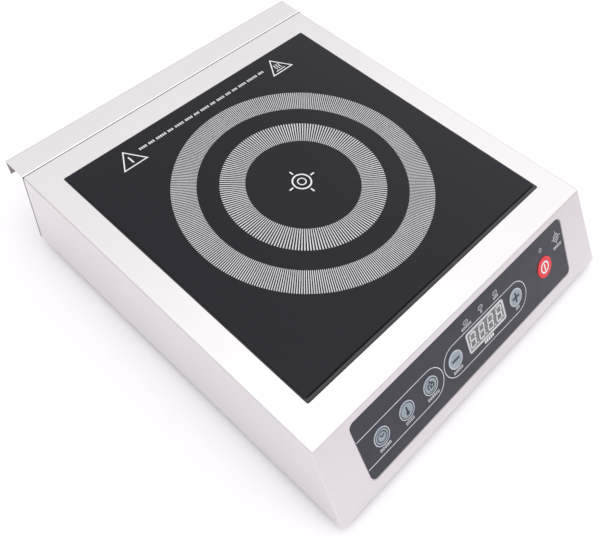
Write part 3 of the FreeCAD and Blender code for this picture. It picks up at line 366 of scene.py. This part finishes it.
MATERIALS = {
    "stainless": stainless_material(),
    "stainless_rear_painted_shade": rear_stainless_painted_shade_material(),
    "galvanised": zinc_sheet_material(),
    "black_glass": black_glass_material(),
    "silicone": seal_material(),
    "mica": plain_plastic("mica", (0.42, 0.35, 0.22), 0.55, 0.75, 0.3, 500.0),
    "copper_litz": litz_material(),
    "black_plastic": plain_plastic("black_plastic", (0.022, 0.022, 0.024), 0.42, 0.58, 0.2),
    "ferrite": plain_plastic("ferrite", (0.045, 0.045, 0.05), 0.5, 0.7, 0.3, 700.0),
    "aluminium_plate": metal("aluminium_plate", (0.74, 0.75, 0.76), 0.3, 0.45, (900, 40, 900)),
    "zinc_hardware": metal("zinc_hardware", (0.62, 0.62, 0.58), 0.22, 0.38),
    "spring_steel": metal("spring_steel", (0.48, 0.49, 0.50), 0.2, 0.34),
    "red_insulation": plain_plastic("red_insulation", (0.42, 0.035, 0.025), 0.4, 0.55, 0.1),
    "white_insulation": plain_plastic("white_insulation", (0.66, 0.66, 0.63), 0.42, 0.6, 0.1),
    "white_ceramic": plain_plastic("white_ceramic", (0.80, 0.79, 0.75), 0.25, 0.4, 0.1),
    "overlay_film": overlay_material(),
    "key_plastic": plain_plastic("key_plastic", (0.26, 0.31, 0.34), 0.3, 0.42, 0.06, 2200.0),
    "red_plastic": plain_plastic("red_plastic", (0.66, 0.010, 0.020), 0.24, 0.36, 0.04, 2200.0),
    "bezel_plastic": plain_plastic("bezel_plastic", (0.55, 0.555, 0.58), 0.25, 0.38, 0.05, 2000.0),
    "smoked_window": window_material(),
    "display_face": plain_plastic("display_face", (0.17, 0.165, 0.18), 0.35, 0.5, 0.08),
    "circuit_board": board_material(),
    "lamp_lens": plain_plastic("lamp_lens", (0.10, 0.10, 0.115), 0.2, 0.34, 0.05),
    "brass_post": metal("brass_post", (0.70, 0.50, 0.22), 0.22, 0.36),
    "aluminium_extrusion": metal("aluminium_extrusion", (0.70, 0.71, 0.72), 0.34, 0.5, (900, 20, 900)),
    "capacitor_case": plain_plastic("capacitor_case", (0.50, 0.36, 0.04), 0.2, 0.34, 0.05),
    "fuse_glass": plain_plastic("fuse_glass", (0.62, 0.66, 0.66), 0.12, 0.25, 0.02),
    "transformer_core": plain_plastic("transformer_core", (0.42, 0.31, 0.05), 0.4, 0.6, 0.15),
    "fan_plastic": plain_plastic("fan_plastic", (0.03, 0.03, 0.034), 0.34, 0.48, 0.12),
    "black_nylon": plain_plastic("black_nylon", (0.028, 0.028, 0.030), 0.36, 0.5, 0.15),
    # Painted shade: the near-black of the strip in the rear joint.
    "gasket_foam": plain_plastic("gasket_foam", (0.006, 0.006, 0.006), 0.8, 0.95, 0.25),
    "rubber_foot": plain_plastic("rubber_foot", (0.026, 0.026, 0.026), 0.62, 0.8, 0.25),
    "white_ink": plain_plastic("white_ink", (0.72, 0.73, 0.76), 0.4, 0.55, 0.05, 2400.0),
    "ring_ink": plain_plastic("ring_ink", (0.60, 0.60, 0.62), 0.4, 0.55, 0.05, 2400.0),
    "dark_ink": plain_plastic("dark_ink", (0.014, 0.020, 0.028), 0.4, 0.55, 0.05, 2400.0),
    "grey_ink": plain_plastic("grey_ink", (0.46, 0.47, 0.50), 0.4, 0.55, 0.05, 2400.0),
    "digit_lens": plain_plastic("digit_lens", (0.62, 0.62, 0.62), 0.25, 0.4, 0.05),
}
OWN_MATERIAL = {"rear_panel": "stainless_rear_painted_shade"}


def paint_cad_nodes():
    for part in frame["record"]["subparts"]:
        mesh = frame["nodes"][part["node"]].data
        mesh.materials.clear()
        mesh.materials.append(MATERIALS[OWN_MATERIAL.get(part["node"], part["material_slot"])])


def add_piece(data, material):
    """A new object of the data's name, in one material."""
    data.materials.append(material)
    piece = bpy.data.objects.new(data.name, data)
    bpy.context.scene.collection.objects.link(piece)
    return piece


# ---- Thin printed pieces -------------------------------------------------------------------------
PRINT_LOW = -0.01          # a print starts just under the face it lies on
PRINT_HIGH = 0.04


class Print:
    """Closed flat prisms gathered into one piece; outlines are millimetres in a face frame."""

    def __init__(self, low=PRINT_LOW, high=PRINT_HIGH):
        self.low = low
        self.high = high
        self.verts = []
        self.faces = []

    def area(self, outline):
        """A filled shape, given once round its edge."""
        count = len(outline)
        base = len(self.verts)
        for z in (self.low, self.high):
            self.verts += [(x, y, z) for x, y in outline]
        self.faces.append([base + i for i in reversed(range(count))])
        self.faces.append([base + count + i for i in range(count)])
        for i in range(count):
            j = (i + 1) % count
            self.faces.append([base + i, base + j, base + count + j, base + count + i])

    def line(self, points, width, closed=False):
        """A stroke of even width; a closed one is a ring."""
        count = len(points)
        outer, inner = [], []
        for i, (x, y) in enumerate(points):
            before = points[i - 1] if closed or i else None
            after = points[(i + 1) % count] if closed or i < count - 1 else None
            dirs = []
            for a, b in ((before, (x, y)), ((x, y), after)):
                if a and b:
                    length = math.hypot(b[0] - a[0], b[1] - a[1])
                    dirs.append(((b[0] - a[0]) / length, (b[1] - a[1]) / length))
            nx = -sum(d[1] for d in dirs)
            ny = sum(d[0] for d in dirs)
            length = math.hypot(nx, ny)
            nx, ny = nx / length, ny / length
            reach = width / 2 / max(0.3, -nx * dirs[0][1] + ny * dirs[0][0])
            outer.append((x - nx * reach, y - ny * reach))
            inner.append((x + nx * reach, y + ny * reach))
        if not closed:
            self.area(outer + inner[::-1])
            return
        base = len(self.verts)
        for ring, z in ((outer, self.low), (inner, self.low), (outer, self.high), (inner, self.high)):
            self.verts += [(px, py, z) for px, py in ring]
        for i in range(count):
            j = (i + 1) % count
            ol, il, oh, ih = (base + k * count for k in range(4))
            self.faces.append([ol + j, ol + i, il + i, il + j])
            self.faces.append([oh + i, oh + j, ih + j, ih + i])
            self.faces.append([ol + i, ol + j, oh + j, oh + i])
            self.faces.append([il + j, il + i, ih + i, ih + j])

    def build(self, name, place, slot, body):
        mesh = bpy.data.meshes.new(name)
        mesh.from_pydata([Vector(v) * MM for v in self.verts], [], self.faces)
        mesh.transform(place)
        mesh.validate()
        mesh.update()
        piece = add_piece(mesh, MATERIALS[slot])
        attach(piece, body)


def rect(cx, cy, w, h):
    corners = [(-w / 2, -h / 2), (w / 2, -h / 2), (w / 2, h / 2), (-w / 2, h / 2)]
    return [(cx + x, cy + y) for x, y in corners]


def arc(cx, cy, r, start, end, steps):
    angles = [math.radians(start + (end - start) * i / steps) for i in range(steps + 1)]
    return [(cx + r * math.cos(a), cy + r * math.sin(a)) for a in angles]


def circle(cx, cy, r, steps=64):
    return arc(cx, cy, r, 0, 360, steps)[:-1]


def round_rect(cx, cy, w, h, r, steps=8):
    points = []
    for sx, sy, start in ((1, -1, -90), (1, 1, 0), (-1, 1, 90), (-1, -1, 180)):
        points += arc(cx + sx * (w / 2 - r), cy + sy * (h / 2 - r), r, start, start + 90, steps)
    return points


GREEK_STROKE = 0.40
GREEK_PITCH = 2.3
GREEK_GAP = 0.75           # clear space between two boxes


def greeked(marks, cx, cy, width, height, stroke=GREEK_STROKE):
    """A row of small open boxes in place of a word."""
    count = max(1, round(width / GREEK_PITCH))
    step = width / count
    for i in range(count):
        x = cx - width / 2 + (i + 0.5) * step
        marks.line(rect(x, cy, step - GREEK_GAP - stroke, height - stroke), stroke, True)


def coil_mark(marks, cx, cy, scale):
    """A plain mark for the middle of the coil: two rings and four ticks."""
    marks.line(circle(cx, cy, 8.0 * scale), 1.3 * scale, True)
    marks.line(circle(cx, cy, 3.6 * scale), 1.0 * scale, True)
    for turn in range(4):
        c, s = math.cos(turn * math.pi / 2), math.sin(turn * math.pi / 2)
        start, end = 10.5 * scale, 14.5 * scale
        marks.line([(cx + start * c, cy + start * s), (cx + end * c, cy + end * s)], 1.3 * scale)


# ---- Marks on the glass --------------------------------------------------------------------------
TICK_BANDS = (("ring_outer", 360, 89.0, 110.4, 0.42), ("ring_inner", 180, 48.7, 70.2, 0.42))
SIGN_X = 87.4
SIGN_Y = 112.0
SIGN_W = 23.6
SIGN_H = 18.4
NOTE_Y = 123.8
NOTE_HALF = 75.0
NOTE_H = 2.5
NOTE_STROKE = 0.56
WORD_SHORTEST = 5.5
WORD_LONGEST = 14.0
WORD_GAP = 1.8
CENTRE_MARK_Y = 2.0


def tick_band(name, count, r0, r1, share):
    """A ring of fine radial ticks; each tick takes `share` of its pitch and widens outwards."""
    marks = Print()
    half = math.pi / count * share
    for i in range(count):
        a = 2 * math.pi * (i + 0.5) / count
        corners = ((r0, -half), (r1, -half), (r1, half), (r0, half))
        marks.area([(r * math.cos(a + d), r * math.sin(a + d)) for r, d in corners])
    marks.build(name, GLASS, "ring_ink", "case")


def triangle(cx, base, w, h):
    return [(cx - w / 2, base), (cx + w / 2, base), (cx, base + h)]


def glass_signs():
    """Two plain triangles: one with a bar, one with heat waves over a line."""
    signs = Print()
    for x in (-SIGN_X, SIGN_X):
        signs.line(triangle(x, SIGN_Y, SIGN_W, SIGN_H), 1.1, True)
    signs.area(rect(-SIGN_X, SIGN_Y + 7.2, 1.3, 8.0))
    for i in (-1, 0, 1):
        x = SIGN_X + i * 2.6
        wave = [(x + 0.5 * math.sin(t * 1.5), SIGN_Y + 4.6 + t * 0.95) for t in range(8)]
        signs.line(wave, 0.8)
    signs.area(rect(SIGN_X, SIGN_Y + 2.9, 11.0, 0.9))
    signs.build("glass_signs", GLASS, "white_ink", "case")


def glass_note():
    """A line of blank words between the triangles."""
    note = Print()
    x = -NOTE_HALF
    while x < NOTE_HALF - 3:
        word = min(random.uniform(WORD_SHORTEST, WORD_LONGEST), NOTE_HALF - x)
        greeked(note, x + word / 2, NOTE_Y, word, NOTE_H, NOTE_STROKE)
        x += word + WORD_GAP
    note.build("glass_note", GLASS, "white_ink", "case")


def glass_marks():
    for band in TICK_BANDS:
        tick_band(*band)
    glass_signs()
    glass_note()
    mark = Print()
    coil_mark(mark, 0, CENTRE_MARK_Y, 1.0)
    mark.build("glass_centre_mark", GLASS, "white_ink", "case")


# ---- Marks on the control overlay ----------------------------------------------------------------
PANEL_HALF = 131.0
OUTLINE_MID = -2.4
OUTLINE_R = 14.5
OUTLINE_W = 0.56
CAPTION_Y = -12.0
CAPTION_H = 2.5
CAPTION_WIDTHS = {"key_timer": 12.2, "key_temp": 9.6, "key_power": 13.6, "key_down": 11.6, "key_up": 5.2}
UNIT_BARS = 5              # bars under the display
UNIT_PITCH = 2.5
UNIT_W = 1.9
UNIT_H = 3.0
UNIT_Y = CAPTION_Y - 0.6
LAMP_Y = 19.7
LAMPS = ((-2.4, -2.6, 12.4), (16.6, 16.6, 2.6), (35.7, 35.6, 6.8))    # rim x, caption x, caption width
LAMP_CAPTION_Y = LAMP_Y - 3.9
LAMP_CAPTION_H = 2.2
LAMP_RIM = (5.3, 3.1, 1.4)    # width, height and corner radius
POWER_LAMP = (99.2, 16.5)
POWER_RIM_R = 1.75
RIM_STROKE = 0.5
RIM_HIGH = 0.06
BADGE_X = 122.0
BADGE_Y = 14.0
BADGE_SCALE = 0.42
BADGE_CAPTION_Y = BADGE_Y - 8.4
BADGE_CAPTION_W = 11.5


def overlay_outlines():
    """An open-ended loop round the first three keys and a capsule round the display and its keys."""
    outlines = Print()
    group_end = on_overlay("key_power").x + 0.6
    top = OUTLINE_MID + OUTLINE_R
    bottom = OUTLINE_MID - OUTLINE_R
    start = -PANEL_HALF + 0.3
    bow = arc(group_end, OUTLINE_MID, OUTLINE_R, 90, -90, 32)
    outlines.line([(start, top)] + bow + [(start, bottom)], OUTLINE_W)
    left = on_overlay("key_down").x + 1.1
    right = on_overlay("key_up").x - 0.2
    left_bow = arc(left, OUTLINE_MID, OUTLINE_R, 90, 270, 32)
    right_bow = arc(right, OUTLINE_MID, OUTLINE_R, -90, 90, 32)
    outlines.line(left_bow + right_bow, OUTLINE_W, True)
    outlines.build("overlay_outlines", OVERLAY, "white_ink", "case")


def overlay_captions():
    """Blank words under the keys, lamps and badge, and bars under the display."""
    captions = Print()
    for key, width in CAPTION_WIDTHS.items():
        greeked(captions, on_overlay(key).x, CAPTION_Y, width, CAPTION_H)
    window = on_overlay("display_window")
    for i in range(UNIT_BARS):
        x = window.x + (i - (UNIT_BARS - 1) / 2) * UNIT_PITCH
        captions.area(rect(x, UNIT_Y, UNIT_W, UNIT_H))
    for _, x, width in LAMPS:
        greeked(captions, x, LAMP_CAPTION_Y, width, LAMP_CAPTION_H)
    coil_mark(captions, BADGE_X, BADGE_Y, BADGE_SCALE)
    greeked(captions, BADGE_X, BADGE_CAPTION_Y, BADGE_CAPTION_W, CAPTION_H)
    captions.build("overlay_captions", OVERLAY, "white_ink", "case")


def lamp_rims():
    rims = Print(PRINT_LOW, RIM_HIGH)
    for x, _, _ in LAMPS:
        rims.line(round_rect(x, LAMP_Y, *LAMP_RIM), RIM_STROKE, True)
    rims.line(circle(*POWER_LAMP, POWER_RIM_R, 32), RIM_STROKE, True)
    rims.build("lamp_rims", OVERLAY, "grey_ink", "case")


# ---- Symbols on the keys -------------------------------------------------------------------------
KEY_ROW = -1.2
KEY_EDGE = 7.5
KEY_RIM_W = 0.45
GROOVED_KEYS = ("key_timer", "key_temp", "key_power")
GROOVE_R = 6.7
GROOVE_W = 0.96
GROOVE_DEPTH = 0.1         # how far the dark filling of a key's groove lies below its face


def symbol_frame(node):
    """The frame of a key's cap, at the middle of its outer face."""
    mid = on_overlay(node)
    return OVERLAY @ Matrix.Translation(Vector((mid.x, KEY_ROW, frame_top(node))) * MM)


def timer_symbol(marks):
    """A clock face with two hands."""
    marks.line(circle(0, 0, 4.4), 0.9, True)
    marks.line([(-1.7, 2.1), (0, 0), (2.6, 1.3)], 1.15)


def thermometer_symbol(marks):
    marks.area(round_rect(0, 0.7, 1.6, 6.2, 0.7, 6))
    marks.area(circle(0, -2.6, 1.8, 24))


def flame_symbol(marks):
    outer = [(1.6, -2.6), (3.1, -1.4), (3.3, 0.6), (2.2, 2.0), (1.5, 0.9), (0.9, 2.9), (-0.4, 4.4),
             (-1.1, 2.6), (-2.0, 1.4), (-2.9, 2.0), (-3.2, -0.2), (-2.4, -2.2)]
    marks.line(outer, 1.25)
    marks.area([(-0.9, -2.4), (0.9, -2.4), (1.2, -0.6), (0.0, 1.2), (-1.2, -0.6)])
    marks.line(arc(0, -1.0, 4.0, 225, 315, 12), 0.7)


def minus_symbol(marks):
    marks.area(rect(0, 0, 9.0, 2.1))


def plus_symbol(marks):
    arm, half = 4.6, 1.0
    marks.area([(-arm, -half), (-half, -half), (-half, -arm), (half, -arm), (half, -half), (arm, -half),
                (arm, half), (half, half), (half, arm), (-half, arm), (-half, half), (-arm, half)])


def power_symbol(marks):
    marks.line(circle(0, 0, 4.9), 1.5, True)
    marks.area(rect(0, 0, 1.5, 6.4))


KEY_SYMBOLS = {
    "key_timer": (timer_symbol, "dark_ink"),
    "key_temp": (thermometer_symbol, "dark_ink"),
    "key_power": (flame_symbol, "dark_ink"),
    "key_down": (minus_symbol, "dark_ink"),
    "key_up": (plus_symbol, "dark_ink"),
    "key_on_off": (power_symbol, "white_ink"),
}


def key_symbols():
    for key, (draw, slot) in KEY_SYMBOLS.items():
        marks = Print()
        draw(marks)
        marks.build(key + "_symbol", symbol_frame(key), slot, key)
        if key != "key_on_off":
            rim = Print()
            rim.line(circle(0, 0, KEY_EDGE, 96), KEY_RIM_W, True)
            rim.build(key + "_rim", symbol_frame(key), "white_ink", key)
        if key in GROOVED_KEYS:
            groove = Print()
            groove.line(circle(0, 0, GROOVE_R, 96), GROOVE_W, True)
            sunk = Matrix.Translation(Vector((0, 0, -GROOVE_DEPTH)) * MM)
            groove.build(key + "_groove", symbol_frame(key) @ sunk, "dark_ink", key)


# ---- Display digits ------------------------------------------------------------------------------
DIGITS = 4
DIGIT_PITCH = 11.5
DIGIT_W = 6.2
DIGIT_H = 12.4
DIGIT_SLANT = 0.14
SEGMENT = 1.35
SEGMENT_GAP = 0.18
POINT_R = 0.7
POINT_OUT = 1.4            # decimal point, out from the digit's right-hand segments
DIGIT_HIGH = 0.03


def segment_outline(x0, y0, x1, y1):
    """One bar of a digit with pointed ends."""
    length = math.hypot(x1 - x0, y1 - y0)
    ux, uy = (x1 - x0) / length, (y1 - y0) / length
    h = SEGMENT / 2
    ax, ay = x0 + ux * SEGMENT_GAP, y0 + uy * SEGMENT_GAP
    bx, by = x1 - ux * SEGMENT_GAP, y1 - uy * SEGMENT_GAP
    points = [(ax, ay), (ax + (ux + uy) * h, ay + (uy - ux) * h), (bx + (uy - ux) * h, by - (uy + ux) * h),
              (bx, by), (bx - (ux + uy) * h, by + (ux - uy) * h), (ax + (ux - uy) * h, ay + (uy + ux) * h)]
    return [(x + DIGIT_SLANT * y, y) for x, y in points]


def display_digits():
    window = on_overlay("display_window")
    low, high = DIGIT_W / 2, DIGIT_H / 2
    bars = [(-low, high, low, high), (-low, 0, low, 0), (-low, -high, low, -high),
            (-low, 0, -low, high), (low, 0, low, high), (-low, -high, -low, 0), (low, -high, low, 0)]
    marks = Print(0.0, DIGIT_HIGH)
    for i in range(DIGITS):
        cx = (i - (DIGITS - 1) / 2) * DIGIT_PITCH
        for bar in bars:
            marks.area([(cx + x, y) for x, y in segment_outline(*bar)])
        marks.area(circle(cx + low + POINT_OUT, -high, POINT_R, 20))
    top = frame_top("display_window")
    place = OVERLAY @ Matrix.Translation(Vector((window.x, window.y, top)) * MM)
    marks.build("display_digits", place, "digit_lens", "case")


# ---- Dark strip in the seam: painted shade -------------------------------------------------------
SHADE_STRIP_DROP = 0.04         # how far the strip lies below the sheet's outer faces
SHADE_STRIP_HALF = 0.39
SHADE_STRIP_DEPTH = 3.0
SHADE_STRIP_FOOT = 1.5          # the strip stops this far above the case's lower edge


def seam_shade_strip():
    """Near-black strip that paints the shade in the joint between the cover and the rear panel: across the
    top, down the sides.
    """
    seam_y = COVER_HIGH.y + SEAM_HALF * MM
    lean = (COVER_HIGH.x - TOP_HALF * MM) / (COVER_HIGH.z - COVER_LOW.z)
    drop = SHADE_STRIP_DROP * MM
    top_z = COVER_HIGH.z - drop
    foot_z = COVER_LOW.z + SHADE_STRIP_FOOT * MM
    half_top = TOP_HALF * MM - drop
    half_foot = half_top + lean * (top_z - foot_z)
    depth = SHADE_STRIP_DEPTH * MM
    outer = [(-half_foot, foot_z), (-half_top, top_z), (half_top, top_z), (half_foot, foot_z)]
    inner = [(-half_foot + depth, foot_z), (-half_top + depth, top_z - depth),
             (half_top - depth, top_z - depth), (half_foot - depth, foot_z)]
    verts = [(x, seam_y + side * SHADE_STRIP_HALF * MM, z) for side in (-1, 1) for x, z in outer + inner]
    faces = []
    for i in range(3):
        faces.append([i, i + 1, i + 5, i + 4])
        faces.append([i + 8, i + 12, i + 13, i + 9])
        faces.append([i, i + 8, i + 9, i + 1])
        faces.append([i + 4, i + 5, i + 13, i + 12])
    faces += [[0, 4, 12, 8], [3, 11, 15, 7]]
    mesh = bpy.data.meshes.new("seam_shade_strip")
    mesh.from_pydata(verts, [], faces)
    mesh.validate()
    mesh.update()
    # The strip is painted shade: near-black, standing in for the joint's shadow.
    piece = add_piece(mesh, MATERIALS["gasket_foam"])
    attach(piece, "case")


# ---- Springs -------------------------------------------------------------------------------------
COIL_SPRING = {"radius": 4.6, "turns": 5, "wire": 0.5}
SENSOR_SPRING = {"radius": 7.4, "turns": 3, "wire": 0.4}
SENSOR_SPRING_H = 6.5
SPRINGS_APART = 30.0       # points further apart than this belong to different springs


def helix(name, base, axis, height, radius, turns, wire):
    """A compression spring as a bevelled curve; its sizes are millimetres."""
    curve = bpy.data.curves.new(name, "CURVE")
    curve.dimensions = "3D"
    curve.bevel_depth = wire * MM
    curve.bevel_resolution = 3
    curve.use_fill_caps = True
    steps = turns * 24
    line = curve.splines.new("POLY")
    line.points.add(steps)
    turn = Vector((0, 0, 1)).rotation_difference(axis)
    for i in range(steps + 1):
        angle = 2 * math.pi * turns * i / steps
        rise = wire + (height - 2 * wire) * i / steps
        local = Vector((radius * math.cos(angle), radius * math.sin(angle), rise)) * MM
        line.points[i].co = (*(base + turn @ local), 1)
    piece = add_piece(curve, MATERIALS["spring_steel"])
    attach(piece, "case")
    return piece


def spring_groups():
    """The coil springs' points, one list for each spring."""
    groups = {}
    for vertex in frame["nodes"]["coil_springs"].data.vertices:
        for place in groups:
            if (Vector(place) - vertex.co.xy).length < SPRINGS_APART * MM:
                groups[place].append(vertex.co)
                break
        else:
            groups[tuple(vertex.co.xy)] = [vertex.co]
    return groups.values()


def springs():
    first = None
    for i, points in enumerate(spring_groups()):
        low = Vector([min(p[k] for p in points) for k in range(3)])
        high = Vector([max(p[k] for p in points) for k in range(3)])
        base = Vector(((low.x + high.x) / 2, (low.y + high.y) / 2, low.z))
        height = (high.z - low.z) / MM
        piece = helix("coil_spring_%d" % (i + 1), base, Vector((0, 0, 1)), height, **COIL_SPRING)
        first = first or piece
    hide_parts("coil_springs")
    normal = GLASS.col[2].xyz
    base = centre("thermistor_spring") - normal * SENSOR_SPRING_H / 2 * MM
    piece = helix("thermistor_spring_wire", base, normal, SENSOR_SPRING_H, **SENSOR_SPRING)
    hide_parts("thermistor_spring")


# ---- Room, light and camera ----------------------------------------------------------------------
FLOOR_HALF = 6.0
FLOOR_COLOR = (0.90, 0.872, 0.915)


def floor():
    mesh = bpy.data.meshes.new("floor")
    corners = [(sx * FLOOR_HALF, sy * FLOOR_HALF, 0) for sx, sy in ((-1, -1), (1, -1), (1, 1), (-1, 1))]
    mesh.from_pydata(corners, [], [(0, 1, 2, 3)])
    g = Graph("floor_paint", FLOOR_COLOR, 0.9)
    g.put("Specular IOR Level", 0.1)
    piece = add_piece(mesh, g.material)


SKY_STRENGTH = 1.41
SKY_BY_HEIGHT = ((0.0, 0.10), (0.22, 0.30), (0.48, 1.0), (0.90, 1.0), (1.0, 1.45))
SKY_FRONT_TO_REAR = ((0.0, 1.0), (0.60, 1.0), (0.68, 0.93), (0.77, 0.75), (1.0, 0.72))


def greys(stops):
    return [(place, (tone, tone, tone)) for place, tone in stops]


def sky():
    """White studio: dim at the horizon, a little softer towards the rear wall, bright overhead."""
    world = bpy.data.worlds.new("studio")
    bpy.context.scene.world = world
    world.use_nodes = True
    tree = world.node_tree
    background = tree.nodes["Background"]
    coords = tree.nodes.new("ShaderNodeTexCoord")
    split = tree.nodes.new("ShaderNodeSeparateXYZ")
    tree.links.new(coords.outputs["Generated"], split.inputs["Vector"])
    from_front = tree.nodes.new("ShaderNodeMapRange")
    from_front.inputs["From Min"].default_value = -1.0
    tree.links.new(split.outputs["Y"], from_front.inputs["Value"])
    height = color_ramp(tree, split.outputs["Z"], greys(SKY_BY_HEIGHT))
    depth = color_ramp(tree, from_front.outputs["Result"], greys(SKY_FRONT_TO_REAR))
    both = tree.nodes.new("ShaderNodeVectorMath")
    both.operation = "MULTIPLY"
    tree.links.new(height, both.inputs[0])
    tree.links.new(depth, both.inputs[1])
    tree.links.new(both.outputs["Vector"], background.inputs["Color"])
    background.inputs["Strength"].default_value = SKY_STRENGTH


CAMERA_AT = Vector((-0.2961, -0.2658, 0.5161))
CAMERA_AIM = Vector((-0.0475, -0.0364, 0.0400))
CAMERA_ROLL = 1.966
CAMERA_LENS = 42.31
SENSOR_WIDTH = 36.0


def camera():
    data = bpy.data.cameras.new("camera")
    data.lens = CAMERA_LENS
    data.sensor_width = SENSOR_WIDTH
    data.clip_start = 0.01
    eye = bpy.data.objects.new("camera", data)
    look = (CAMERA_AIM - CAMERA_AT).to_track_quat("-Z", "Y")
    eye.rotation_mode = "QUATERNION"
    eye.rotation_quaternion = look @ Quaternion((0, 0, 1), math.radians(CAMERA_ROLL))
    eye.location = CAMERA_AT
    bpy.context.scene.collection.objects.link(eye)
    bpy.context.scene.camera = eye


paint_cad_nodes()
glass_marks()
overlay_outlines()
overlay_captions()
lamp_rims()
key_symbols()
display_digits()
seam_shade_strip()
springs()
floor()
sky()
camera()
bpy.context.scene.view_settings.view_transform = "Standard"
